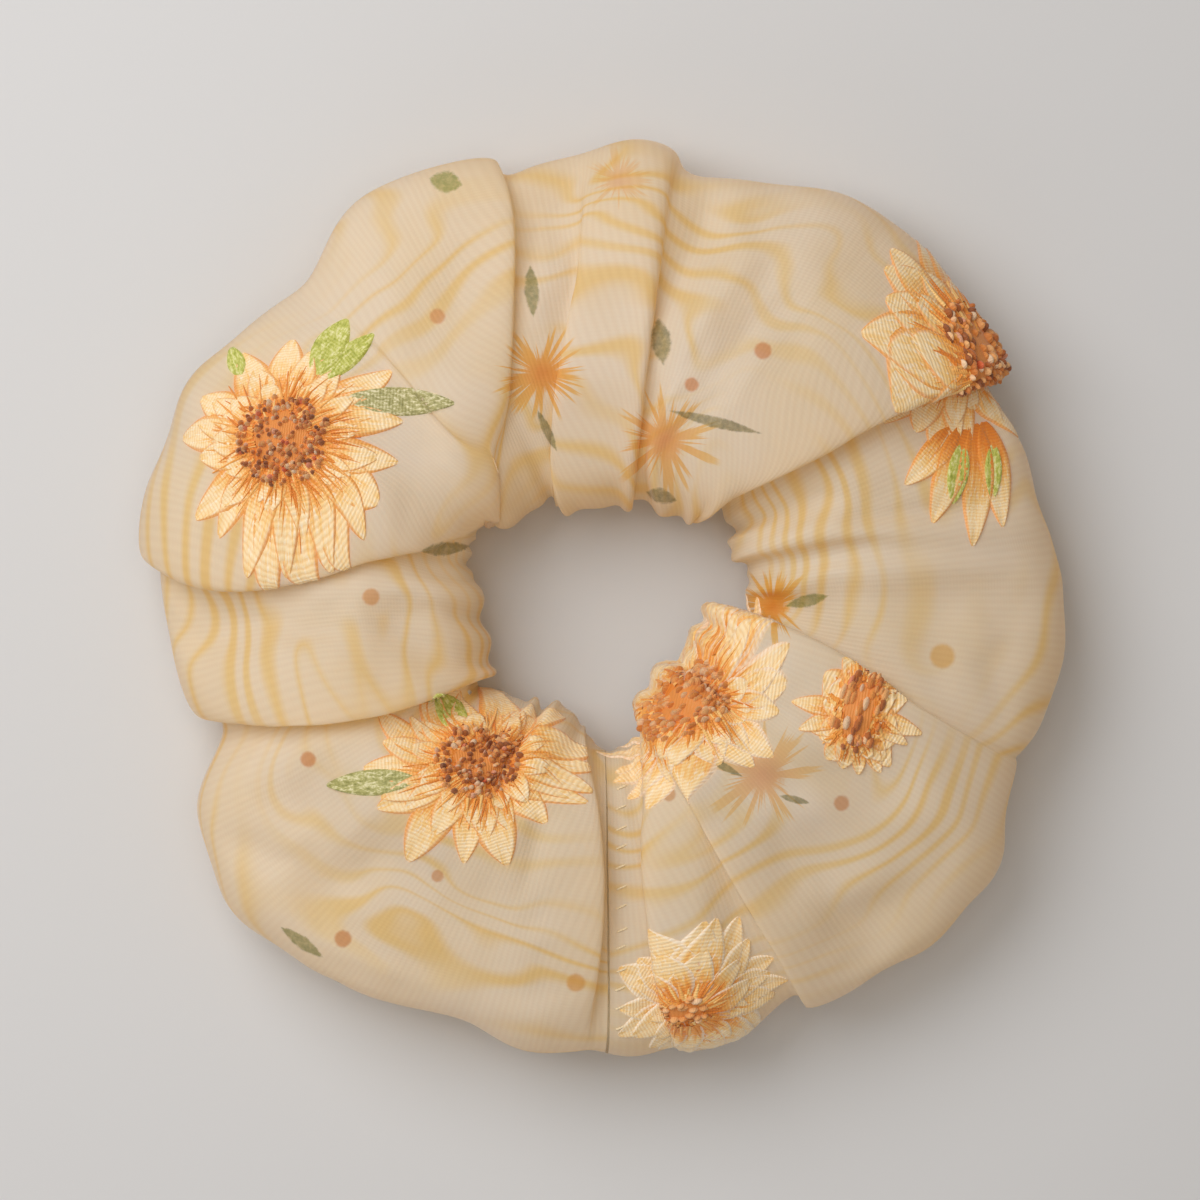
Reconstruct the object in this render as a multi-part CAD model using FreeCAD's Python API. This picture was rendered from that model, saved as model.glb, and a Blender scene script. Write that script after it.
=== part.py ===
import FreeCAD
import Part
import math
import os

# A scrunchie: a tube of thin cloth gathered on a loop of flat elastic.
# Millimetres. The ring lies flat on z = 0 with its axis along +Z, and the origin is
# at the middle of the ring, on the surface that it rests on.
# The tube's two ends are sewn together at the -Y side, which is the closing seam.

# Driving dimensions of the gathered ring
HOLE_RADIUS = 16.3           # inner edge of the ring, at the crown of a gather
OUTER_RADIUS = 58.5          # outer edge, at the crown of a gather
CROWN_HEIGHT = 23.0          # height of a gather at its crown
VALLEY_HOLE_RADIUS = 17.2    # inner edge, in the valley between two gathers
VALLEY_OUTER_RADIUS = 54.5
VALLEY_HEIGHT = 19.5
FOOT_SINK = 1.4              # how much of the round section the flat foot takes off

# The ring is divided at its valleys into gathers
GATHER_PITCH = 30.0          # degrees from one gather to the next
GATHER_COUNT = 12
SEAM_ANGLE = -90.0
VALLEY_GAP = 0.55            # degrees left clear on each side of a valley
SEAM_GAP = 0.3               # between the two tube ends at the closing seam

# Flat braided elastic, cut to length and lapped on itself
ELASTIC_RADIUS = 21.0
ELASTIC_WIDTH = 6.0
ELASTIC_THICKNESS = 1.0
ELASTIC_LOW = 7.5            # height of its lower edge
LAP_STEP = 1.1               # how far the outer end steps out over the inner end
LAP_ANGLE = 34.0             # the overlap, about 12 mm
LAP_MIDDLE = 90.0
RAMP_ANGLE = 30.0
CHANNEL_CLEARANCE = 0.6      # room round the elastic in its casing

# Threads and embroidery
THREAD_RADIUS = 0.2
LAP_STITCH_POINTS = 9
LAP_STITCH_HEIGHT = 4.0
SEAM_STITCH_LENGTH = 3.2
SEAM_STITCH_WIDTH = 0.7
SEAM_STITCH_SPACING = 3.0
SEAM_STITCH_LIFT = 0.1
SEAM_STITCH_SLANT = 24.0
MOTIF_THICKNESS = 0.6
MOTIF_LOW = 9.0              # a motif is sewn on the upper side, above this height
PETAL_NOTCH = 0.86           # radius of the notch between petals over the petal tips'

# Embroidered sunflowers: node, gather number, x, y, radius, petals
SUNFLOWERS = [
    ("sunflower_left", 9, -40.6, 20.2, 15.0, 14),
    ("sunflower_right", 5, 47.0, 28.0, 15.5, 13),
    ("sunflower_hole_left", 12, -16.5, -21.5, 13.5, 13),
    ("sunflower_hole_right", 3, 14.5, -10.5, 10.0, 11),
    ("sunflower_small", 3, 32.5, -14.5, 7.5, 9),
    ("sunflower_seam", 1, 10.5, -49.5, 11.5, 11),
]

FAR = 200.0                  # reach of the boxes that cut a shape in two


def vec(x, y, z=0.0):
    return FreeCAD.Vector(x, y, z)


def polar(radius, degrees, z=0.0):
    turn = math.radians(degrees)
    return vec(radius * math.cos(turn), radius * math.sin(turn), z)


def save(node, shape):
    if not shape.isValid():
        raise ValueError(node + " isn't a valid solid")
    shape.exportStep(os.path.join("parts", node + ".step"))
    print(node, len(shape.Solids), "solids", round(shape.Volume, 2), "mm3")


def keep_box(x_low, y_low, z_low, x_high, y_high, z_high):
    return Part.makeBox(x_high - x_low, y_high - y_low, z_high - z_low, vec(x_low, y_low, z_low))


# ---- the cloth cover ----

def section(degrees, inner, outer, height, grow):
    """The oval cross-section of the ring in the upright plane at this angle."""
    half_width = (outer - inner) / 2
    half_height = (height + FOOT_SINK) / 2
    centre = polar((outer + inner) / 2, degrees, height - half_height)
    along = polar(1, degrees)
    across = vec(0, 0, 1)
    tip = centre + along * (half_width + grow)
    top = centre + across * (half_height + grow)
    return Part.Wire([Part.Ellipse(tip, top, centre).toShape()])


def gather_form(degrees, grow=0.0):
    """One gather of the tube: full at its crown and pulled in at both valleys."""
    reach = GATHER_PITCH / 2 - VALLEY_GAP
    sections = [
        section(degrees - reach, VALLEY_HOLE_RADIUS, VALLEY_OUTER_RADIUS, VALLEY_HEIGHT, grow),
        section(degrees, HOLE_RADIUS, OUTER_RADIUS, CROWN_HEIGHT, grow),
        section(degrees + reach, VALLEY_HOLE_RADIUS, VALLEY_OUTER_RADIUS, VALLEY_HEIGHT, grow),
    ]
    form = Part.makeLoft(sections, True, False)
    return form.common(keep_box(-FAR, -FAR, 0, FAR, FAR, FAR))


def elastic_channel():
    """The casing's passage for the elastic, a ring of rectangular section."""
    half = ELASTIC_THICKNESS / 2
    inner = ELASTIC_RADIUS - half - CHANNEL_CLEARANCE
    outer = ELASTIC_RADIUS + half + LAP_STEP + 2 * THREAD_RADIUS + CHANNEL_CLEARANCE
    height = ELASTIC_WIDTH + 2 * CHANNEL_CLEARANCE
    base = vec(0, 0, ELASTIC_LOW - CHANNEL_CLEARANCE)
    return Part.makeCylinder(outer, height, base).cut(Part.makeCylinder(inner, height, base))


def gather_angle(number):
    """Middle of a gather. Numbers run anticlockwise from the closing seam."""
    return SEAM_ANGLE + GATHER_PITCH * (number - 1)


def seam_side(number):
    """The half of space that holds a gather beside the closing seam."""
    if number == 1:
        return keep_box(SEAM_GAP / 2, -FAR, -FAR, FAR, FAR, FAR)
    return keep_box(-FAR, -FAR, -FAR, -SEAM_GAP / 2, FAR, FAR)


def is_seam_gather(number):
    return number in (1, GATHER_COUNT + 1)


def cover_gather(number, grow=0.0):
    form = gather_form(gather_angle(number), grow)
    if is_seam_gather(number):
        form = form.common(seam_side(number))
    return form


def write_cover():
    channel = elastic_channel()
    for number in range(1, GATHER_COUNT + 2):
        save("cover_gather_%02d" % number, cover_gather(number).cut(channel))


# ---- the elastic and its join ----

def ease(t):
    t = min(1.0, max(0.0, t))
    return t * t * (3 - 2 * t)


def elastic_loop():
    """A strip that goes once round and laps over its own first end."""
    first = LAP_MIDDLE - LAP_ANGLE / 2
    total = 360.0 + LAP_ANGLE
    ramp_start = 360.0 - RAMP_ANGLE - 2
    steps = 96

    def side(offset):
        points = []
        for i in range(steps + 1):
            turn = total * i / steps
            step_out = LAP_STEP * ease((turn - ramp_start) / RAMP_ANGLE)
            points.append(polar(ELASTIC_RADIUS + offset + step_out, first + turn, ELASTIC_LOW))
        curve = Part.BSplineCurve()
        curve.interpolate(points)
        return curve.toShape(), points[0], points[-1]

    inner, inner_start, inner_end = side(-ELASTIC_THICKNESS / 2)
    outer, outer_start, outer_end = side(ELASTIC_THICKNESS / 2)
    start = Part.LineSegment(inner_start, outer_start).toShape()
    end = Part.LineSegment(inner_end, outer_end).toShape()
    outline = Part.Wire(Part.__sortEdges__([inner, end, outer, start]))
    return Part.Face(outline).extrude(vec(0, 0, ELASTIC_WIDTH))


def thread(points):
    """A sewing thread along straight runs, rounded at each turn."""
    pieces = [Part.makeSphere(THREAD_RADIUS, point) for point in points]
    for a, b in zip(points, points[1:]):
        pieces.append(Part.makeCylinder(THREAD_RADIUS, (b - a).Length, a, b - a))
    return pieces[0].fuse(pieces[1:]).removeSplitter()


def elastic_lap_stitches():
    """The zigzag that holds the two ends of the elastic together."""
    radius = ELASTIC_RADIUS + ELASTIC_THICKNESS / 2 + LAP_STEP + THREAD_RADIUS * 0.75
    middle = ELASTIC_LOW + ELASTIC_WIDTH / 2
    span = LAP_ANGLE * 0.7
    points = []
    for i in range(LAP_STITCH_POINTS):
        turn = LAP_MIDDLE + span * (i / (LAP_STITCH_POINTS - 1) - 0.5)
        rise = LAP_STITCH_HEIGHT / 2 * (1 if i % 2 else -1)
        points.append(polar(radius, turn, middle + rise))
    return thread(points)


# ---- what is sewn on the cover ----

def skin(degrees, low, high):
    """A layer on a gather's outside, from low to high above the cloth."""
    return gather_form(degrees, high).cut(gather_form(degrees, low))


def closing_seam_stitches():
    """Slanted hand stitches across the butted tube ends, over the ring's upper side."""
    layer = skin(SEAM_ANGLE, SEAM_STITCH_LIFT, SEAM_STITCH_LIFT + 2 * THREAD_RADIUS)
    radius = HOLE_RADIUS + SEAM_STITCH_SPACING
    stitches = []
    while radius < OUTER_RADIUS - SEAM_STITCH_SPACING / 2:
        half_length, half_width = SEAM_STITCH_LENGTH / 2, SEAM_STITCH_WIDTH / 2
        bar = keep_box(-half_length, -half_width, MOTIF_LOW, half_length, half_width, FAR)
        bar.rotate(vec(0, 0, 0), vec(0, 0, 1), SEAM_STITCH_SLANT)
        bar.translate(vec(0, -radius, 0))
        stitches += layer.common(bar).Solids
        radius += SEAM_STITCH_SPACING
    return Part.makeCompound(stitches)


def flower_outline(x, y, radius, petals):
    """A closed row of arcs: each petal runs from notch to tip to the next notch."""
    edges = []
    pitch = 360.0 / petals
    for i in range(petals):
        notch = polar(radius * PETAL_NOTCH, pitch * (i - 0.5))
        tip = polar(radius, pitch * i)
        next_notch = polar(radius * PETAL_NOTCH, pitch * (i + 0.5))
        edges.append(Part.Arc(notch, tip, next_notch).toShape())
    outline = Part.Wire(edges)
    outline.translate(vec(x, y, MOTIF_LOW))
    return Part.Face(outline)


def sunflower(number, x, y, radius, petals):
    prism = flower_outline(x, y, radius, petals).extrude(vec(0, 0, FAR))
    layer = skin(gather_angle(number), 0.0, MOTIF_THICKNESS)
    if is_seam_gather(number):
        clear = SEAM_STITCH_LENGTH / 2 + SEAM_GAP
        layer = layer.common(keep_box(clear, -FAR, -FAR, FAR, FAR, FAR))
    return Part.makeCompound(layer.common(prism).Solids)


def main():
    os.makedirs("parts", exist_ok=True)
    write_cover()
    save("elastic_loop", elastic_loop())
    save("elastic_lap_stitches", elastic_lap_stitches())
    save("closing_seam_stitches", closing_seam_stitches())
    for node, number, x, y, radius, petals in SUNFLOWERS:
        save(node, sunflower(number, x, y, radius, petals))


main()
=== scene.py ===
import math

import bpy
import numpy as np
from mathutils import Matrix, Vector
from mathutils.bvhtree import BVHTree


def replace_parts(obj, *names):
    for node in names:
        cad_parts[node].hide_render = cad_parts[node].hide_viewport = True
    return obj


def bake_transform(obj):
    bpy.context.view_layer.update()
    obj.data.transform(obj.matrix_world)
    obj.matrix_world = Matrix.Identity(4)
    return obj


# A scrunchie: a tube of thin printed cloth gathered on a flat elastic, with stitched sunflowers.
# Everything below is worked out in millimetres and turned into metres when a mesh is made.
MM = 0.001

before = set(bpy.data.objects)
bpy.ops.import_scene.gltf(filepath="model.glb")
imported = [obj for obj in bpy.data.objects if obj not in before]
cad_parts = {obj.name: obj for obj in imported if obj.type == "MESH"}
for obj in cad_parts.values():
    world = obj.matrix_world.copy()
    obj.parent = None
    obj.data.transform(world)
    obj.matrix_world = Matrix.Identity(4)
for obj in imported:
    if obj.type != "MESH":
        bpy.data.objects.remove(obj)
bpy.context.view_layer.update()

# ---------------------------------------------------------------- the ring's plan

SEGMENTS = 12                      # stretches of ring between the middles of two gathers
SEGMENT_TURN = 360.0 / SEGMENTS
SEAM_ANGLE = -90.0                 # the closing seam, where the tube's two ends meet

COLUMNS, ROWS = 480, 120           # the cloth's grid: round the ring, and round the tube
FLOOR_GAP = 0.25                   # the least height of the finished cloth over the floor

TUBE_GIRTH = 103.0                 # round the tube, from a strip 115 mm wide less its seams
STRIP_LENGTH = 390.0               # of the sewn strip: fitted to the model, not measured on a real one


def ring_curve(points):
    """A smooth closed curve of a size against the angle, through (degrees, size) points."""
    angles = np.array([p[0] for p in points], float)
    sizes = np.array([p[1] for p in points], float)
    angles = np.concatenate([angles[-2:] - 360, angles, angles[:2] + 360])
    sizes = np.concatenate([sizes[-2:], sizes, sizes[:2]])
    slopes = np.gradient(sizes, angles)

    def at(degrees):
        a = (np.asarray(degrees, float) - points[0][0]) % 360 + points[0][0]
        i = np.clip(np.searchsorted(angles, a, side="right") - 1, 1, len(angles) - 3)
        span = angles[i + 1] - angles[i]
        t = (a - angles[i]) / span
        keep, reach = (1 + 2 * t) * (1 - t) ** 2, t * t * (3 - 2 * t)
        return (keep * sizes[i] + reach * sizes[i + 1]
                + t * (1 - t) ** 2 * span * slopes[i] - t * t * (1 - t) * span * slopes[i + 1])
    return at


# Lobes and notches of the outline, and the uneven edge of the hole
OUTER = ring_curve([
    (2, 57.5), (14, 55.5), (24, 56.5), (40, 58.0), (52, 59.3), (64, 57.5), (73, 54.8), (86, 57.6),
    (101, 55.6), (112, 58.4), (121, 59.3), (134, 55.6), (146, 58.4), (160, 59.2), (171, 58.2),
    (190, 54.2), (198, 53.4), (208, 58.8), (220, 60.8), (236, 59.6), (249, 56.4), (262, 57.5),
    (280, 57.6), (293, 56.6), (306, 58.2), (318, 60.0), (327, 58.8), (333, 56.4), (344, 57.8),
])
HOLE = ring_curve([
    (0, 17.5), (16, 17.6), (31, 17.2), (50, 15.8), (72, 14.2), (99, 14.2), (120, 15.2),
    (140, 17.4), (152, 18.6), (164, 17.4), (180, 17.0), (196, 17.8), (214, 17.0), (240, 15.0),
    (258, 16.0), (272, 17.6), (283, 17.0), (300, 13.0), (316, 12.4), (335, 13.4), (349, 15.6),
])
HEIGHT = ring_curve([
    (0, 20.5), (30, 21.0), (60, 22.5), (90, 20.5), (120, 22.0), (150, 22.5), (190, 20.0),
    (225, 22.5), (255, 21.5), (275, 20.2), (300, 21.8), (330, 22.0),
])
SIDE_LEVEL = 0.42                  # height of the tube's widest place over the whole height
BROAD_GATHER = 0.19                # height of each of the broad waves
HOLE_GATHER = 0.16                 # of each of the fine ones at the top of the hole
UNDER_GATHER = 0.50                # and of the fine ones below it and under the ring
REST_GAP = 0.35                    # the least height over the floor before the cloth is settled
HOLE_SMOOTHING, SMOOTHING = 14, 3  # passes near the hole, and elsewhere


class Fold:
    """A crease that runs from the hole to the outside of the ring.

    at holds its angle at the hole, half way and at the outside, and strength how much of it
    there is at those places. lap is the side that lies on top: +1 anticlockwise, -1 clockwise,
    and 0 for a plain ridge (or, with a negative height, a valley)."""

    def __init__(self, at, strength, width, height, lap=0, reach=0.0, under=0.5):
        self.at, self.strength, self.under = at, strength, under
        self.width, self.height, self.lap, self.reach = width, height, lap, reach


FOLDS = [
    Fold((131, 109, 103.5), (0.9, 1.0, 0.8), 1.3, 1.5, +1, 4.2),      # top, left edge of the pleat
    Fold((119, 100, 97), (1.0, 0.9, 0.0), 1.1, 1.3, -1, 3.6),         # top, right edge of the pleat
    Fold((77, 81, 79), (1.0, 0.9, 0.3), 1.5, 1.7, +1, 4.4),
    Fold((70, 70.5, 73), (0.4, 1.0, 0.6), 2.6, 1.4),
    Fold((36, 32.5, 28), (0.9, 1.0, 0.7), 1.9, 2.6, +1, 7.4),         # upper right, long overlap
    Fold((22, 13, 9), (1.0, 1.0, 0.1), 1.5, 1.5),
    Fold((4, 6, 2), (1.0, 0.9, 0.1), 1.5, 1.4),
    Fold((359, 344, 341), (1.0, 1.0, 0.5), 1.5, 1.8, -1, 5.0),        # above the small sunflower
    Fold((300, 325, 338), (0.2, 0.7, 0.7), 2.2, -0.8),
    Fold((285.5, 292.5, 295), (0.6, 1.0, 0.9), 1.3, 1.5, +1, 4.2),    # lower right, long diagonal
    Fold((279.5, 277.5, 277), (0.4, 1.0, 0.3), 1.3, 1.5, +1, 4.2),
    Fold((269.5, 269.5, 270), (0.5, 1.0, 0.1), 1.3, 1.6, -1, 4.4),    # beside the closing seam
    Fold((214.5, 206.5, 199), (1.0, 1.0, 0.5), 1.8, 2.3, -1, 6.6),    # lower left, long overlap
    Fold((158, 176, 176), (0.8, 1.0, 0.7), 2.0, 1.8, -1, 5.6),        # left
    Fold((140, 133.5, 138), (1.0, 0.8, 0.1), 1.2, 1.0, -1, 3.2),
]

# Shallow hollows where the slack cloth sags: x, y, radius, depth
HOLLOWS = [
    (-25, 41, 12, 1.6), (22, 36, 11, 1.3), (40, 8, 11, 1.2), (34, -33, 13, 1.5),
    (-24, -38, 13, 1.4), (-38, -5, 9, 1.2), (2, 38, 7, 0.8), (-33, 22, 10, 0.6),
]


def signed_power(value, power):
    return np.sign(value) * np.abs(value) ** power


def section_turns():
    """Turns round the tube at even steps of girth: 0 outside, a quarter turn on top, half at the hole."""
    turn = np.linspace(0, 2 * np.pi, 2001)
    wide, high = np.cos(turn) * 20.5, np.sin(turn) * 11.0
    length = np.concatenate([[0], np.cumsum(np.hypot(np.diff(wide), np.diff(high)))])
    return np.interp(np.arange(ROWS) / ROWS * length[-1], length, turn)


def between(three, share):
    """A value that passes smoothly through three places at shares 0, a half and 1."""
    low, middle, high = three
    bend = 2 * (low + high) - 4 * middle
    return low + (high - low - bend) * share + bend * share * share


def wrap(degrees):
    return (degrees + 180) % 360 - 180


def gathered_ring():
    """The cloth as gathered: a puffed tube with its folds laid over one another."""
    degrees = SEAM_ANGLE + 360.0 * np.arange(COLUMNS)[:, None] / COLUMNS
    turn = section_turns()[None, :]
    outer, hole, height = OUTER(degrees), HOLE(degrees), HEIGHT(degrees)
    level = height * SIDE_LEVEL
    middle, half = (outer + hole) / 2, (outer - hole) / 2
    cos, sin = np.cos(turn), np.sin(turn)
    radius = middle + half * signed_power(cos, 0.92)
    above = (height - level) * np.abs(sin) ** 0.84
    below = (level - 0.5) * np.abs(sin) ** 0.62
    z = np.where(sin >= 0, level + above, level - below)

    share = (1 + cos) / 2 + 0 * degrees        # 0 at the hole, 1 outside
    underside = np.clip(-sin * 2, 0, 1)
    lift = np.zeros_like(radius)
    shift = np.zeros_like(radius)
    for f in FOLDS:
        strength = np.clip(between(f.strength, share), 0, 1.2) * (1 - (1 - f.under) * underside)
        reach = f.reach * strength
        centre = between(f.at, share) + f.lap * np.degrees(f.reach / radius)
        across = np.radians(wrap(degrees - centre)) * radius
        if f.lap:
            t = f.lap * across / f.width
            rise = np.tanh((t + 0.8) / 1.2) * np.exp(-((t + 0.8) / 5.0) ** 2)
            shift -= f.lap * reach * np.exp(-t * t / 2)
        else:
            t = across / f.width
            rise = np.exp(-t * t / 2)
        lift += f.height * strength * rise

    # lift along the section's own outward direction
    out = np.stack([cos * 0.55, sin], -1)
    out = out / np.linalg.norm(out, axis=-1, keepdims=True)
    lifted = radius + lift * out[..., 0]
    z = z + lift * out[..., 1] * np.where(sin < 0, 0.4, 1.0)
    angle = np.radians(degrees) + shift / radius
    x, y = lifted * np.cos(angle), lifted * np.sin(angle)
    for cx, cy, size, depth in HOLLOWS:
        dip = depth * np.exp(-((x - cx) ** 2 + (y - cy) ** 2) / (size * size))
        z = z - dip * np.clip(sin * 1.5, 0, 1)
    points = np.stack([x, y, np.maximum(z, REST_GAP)], -1)
    near_hole = np.clip(1.0 - share * 2.4, 0, 1)[..., None]
    points = soften(points, SMOOTHING) * (1 - near_hole) + soften(points, HOLE_SMOOTHING) * near_hole
    return gathers(points, degrees, share, sin)


def gathers(points, degrees, share, sin):
    """Small uneven gathers, deepest at the hole, where the same cloth has least room."""
    rng = np.random.default_rng(7)
    wave = np.zeros_like(share)
    for waves in (7, 11, 16, 21, 27):
        phase, lean = rng.uniform(0, 2 * np.pi), rng.uniform(-0.9, 0.9)
        wave += np.sin(np.radians(degrees) * waves + phase + lean * share * np.pi) * BROAD_GATHER
    below = np.clip(0.12 - sin * 1.4 - share * 0.15, 0, 1)
    below = below * below * (3 - 2 * below)
    for waves in (23, 31, 38, 45, 53):
        phase, lean = rng.uniform(0, 2 * np.pi), rng.uniform(-0.5, 0.5)
        ripple = np.sin(np.radians(degrees) * waves + phase + lean * share * np.pi)
        wave += ripple * HOLE_GATHER * np.clip(1.0 - share * 3.0, 0, 1) ** 1.5
        wave += (ripple - 1.0) * UNDER_GATHER * below * (1.0 - 0.45 * share)
    moved = points + grid_normals(points) * wave[..., None]
    moved[..., 2] = np.maximum(moved[..., 2], REST_GAP)
    return moved


# ---------------------------------------------------------------- meshes

def new_mesh(name, points, faces, attributes=None, normals=None):
    """A smooth mesh object from millimetre points, with named vector attributes on its points."""
    mesh = bpy.data.meshes.new(name)
    mesh.from_pydata((np.asarray(points) * MM).tolist(), [], np.asarray(faces).tolist())
    for key, values in (attributes or {}).items():
        values = np.asarray(values, np.float32)
        mesh.attributes.new(key, "FLOAT_VECTOR", "POINT").data.foreach_set("vector", values.ravel())
    mesh.shade_smooth()
    if normals is not None:
        mesh.normals_split_custom_set_from_vertices(np.asarray(normals).tolist())
    obj = bpy.data.objects.new(name, mesh)
    bpy.context.collection.objects.link(obj)
    return obj


def ring_grid_faces(columns, rows):
    i, j = np.meshgrid(np.arange(columns), np.arange(rows), indexing="ij")
    i2, j2 = (i + 1) % columns, (j + 1) % rows
    return np.stack([i * rows + j, i2 * rows + j, i2 * rows + j2, i * rows + j2], -1).reshape(-1, 4)


SETTLE_STEPS = 12
SETTLE_PRESSURE = 1.6
SETTLE_HELD_TURN = np.pi * 1.16    # where round the tube the elastic holds the cloth, below the hole
SETTLE_CAP = 3.0                   # the most that a point may move
SETTLE_SMOOTHING = 4               # passes that leave the broad wrinkles and take out the fine ones


def relax(points):
    """A short cloth simulation: the slack cloth puffs and buckles a little on its elastic."""
    flat = points.reshape(-1, 3)
    obj = new_mesh("cloth_at_rest", flat, ring_grid_faces(COLUMNS, ROWS))
    held = obj.vertex_groups.new(name="held")
    turn = np.tile(section_turns(), COLUMNS)
    for index in np.nonzero(np.abs(turn - SETTLE_HELD_TURN) < 0.16)[0].tolist():
        held.add([index], 1.0, "REPLACE")
    for index in np.nonzero(flat[:, 2] < 0.8)[0].tolist():
        held.add([index], 0.6, "REPLACE")
    cloth = obj.modifiers.new("cloth", "CLOTH")
    s = cloth.settings
    s.quality = 5
    s.mass = 0.15
    s.tension_stiffness = s.compression_stiffness = 12
    s.shear_stiffness = 4
    s.bending_stiffness = 0.3
    s.tension_damping = s.compression_damping = s.shear_damping = 12
    s.use_pressure = True
    s.uniform_pressure_force = SETTLE_PRESSURE
    s.vertex_group_mass = "held"
    s.shrink_min = -0.05
    s.effector_weights.gravity = 0
    s.air_damping = 4
    cloth.collision_settings.use_collision = False
    scene = bpy.context.scene
    for step in range(1, SETTLE_STEPS + 1):
        scene.frame_set(step)
    depsgraph = bpy.context.evaluated_depsgraph_get()
    settled = np.empty(len(flat) * 3, np.float32)
    obj.evaluated_get(depsgraph).data.vertices.foreach_get("co", settled)
    moved = settled.reshape(-1, 3) / MM - flat
    scene.frame_set(1)
    bpy.data.objects.remove(obj)
    far = np.linalg.norm(moved, axis=1, keepdims=True)
    moved *= np.minimum(1.0, SETTLE_CAP / np.maximum(far, 1e-6))
    print("cloth settled: mean move %.2f mm, most %.2f mm" % (far.mean(), far.max()))
    return points + soften(moved.reshape(points.shape), SETTLE_SMOOTHING)


def refine(values, axis):
    """Twice as many samples along a closed axis, on a smooth curve through the old ones."""
    before, after = np.roll(values, 1, axis), np.roll(values, -1, axis)
    beyond = np.roll(values, -2, axis)
    middle = (9 * (values + after) - before - beyond) / 16
    both = np.stack([values, middle], axis + 1)
    shape = list(values.shape)
    shape[axis] *= 2
    return both.reshape(shape)


def soften(values, times=1):
    for _ in range(times):
        for axis in (0, 1):
            values = (np.roll(values, 1, axis) + 2 * values + np.roll(values, -1, axis)) / 4
    return values


def grid_normals(points):
    """Outward normals: those of the row a quarter round the tube, on its top, point up."""
    along = np.roll(points, -1, 0) - np.roll(points, 1, 0)
    around = np.roll(points, -1, 1) - np.roll(points, 1, 1)
    normals = np.cross(along, around)
    normals = normals / np.maximum(np.linalg.norm(normals, axis=-1, keepdims=True), 1e-9)
    return -normals if normals[:, points.shape[1] // 4, 2].mean() < 0 else normals


def settled_cover():
    """The settled cloth, on a grid twice as fine."""
    points = gathered_ring()
    points = relax(points)
    points = refine(refine(points, 0), 1)
    points[..., 2] = np.maximum(points[..., 2], FLOOR_GAP)
    return points


cover = settled_cover()
cover_normals = grid_normals(cover)
fine_columns, fine_rows = cover.shape[:2]
cloth_share = np.linalg.norm(np.cross(np.roll(cover, -1, 0) - cover, np.roll(cover, -1, 1) - cover),
                             axis=2).sum(axis=1)
cloth_share = soften(np.repeat(cloth_share[:, None], 3, axis=1), 6)[:, 0]
cloth_share /= cloth_share.sum()   # of the strip's length, in each column
strip = np.zeros_like(cover)
strip[..., 0] = (np.cumsum(cloth_share) - cloth_share)[:, None] * STRIP_LENGTH
strip[..., 1] = np.arange(fine_rows)[None, :] / fine_rows * TUBE_GIRTH


def segment_of(points):
    """Which stretch of ring, 0 to 11 anticlockwise from the closing seam, each point lies in."""
    degrees = np.degrees(np.arctan2(points[:, 1], points[:, 0]))
    return np.floor(((degrees - SEAM_ANGLE) % 360) / SEGMENT_TURN).astype(int) % SEGMENTS


def blend_ring(obj):
    """Bake the piece's place into its mesh."""
    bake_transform(obj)


def ring_pieces(name, points, faces, attributes, materials, normals=None, material_index=None):
    """Divide a mesh at the middles of the gathers, so that each piece crosses one joint only."""
    points, faces = np.asarray(points, float), np.asarray(faces)
    where = segment_of(points[faces].mean(axis=1))
    made = []
    for segment in np.unique(where):
        chosen = faces[where == segment]
        used, compact = np.unique(chosen, return_inverse=True)
        compact = compact.reshape(chosen.shape)
        part = {key: values[used] for key, values in attributes.items()}
        obj = new_mesh("%s_%02d" % (name, segment + 1), points[used], compact, part,
                       None if normals is None else normals[used])
        for material in materials:
            obj.data.materials.append(material)
        if material_index is not None:
            index = material_index[where == segment].astype(np.int32)
            obj.data.polygons.foreach_set("material_index", index)
        blend_ring(obj)
        made.append(obj)
    return made


# ---------------------------------------------------------------- materials

def linear(red, green, blue):
    """A colour given as 0-255 sRGB."""
    def one(c):
        c = c / 255
        return c / 12.92 if c <= 0.04045 else ((c + 0.055) / 1.055) ** 2.4
    return (one(red), one(green), one(blue), 1.0)


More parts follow.
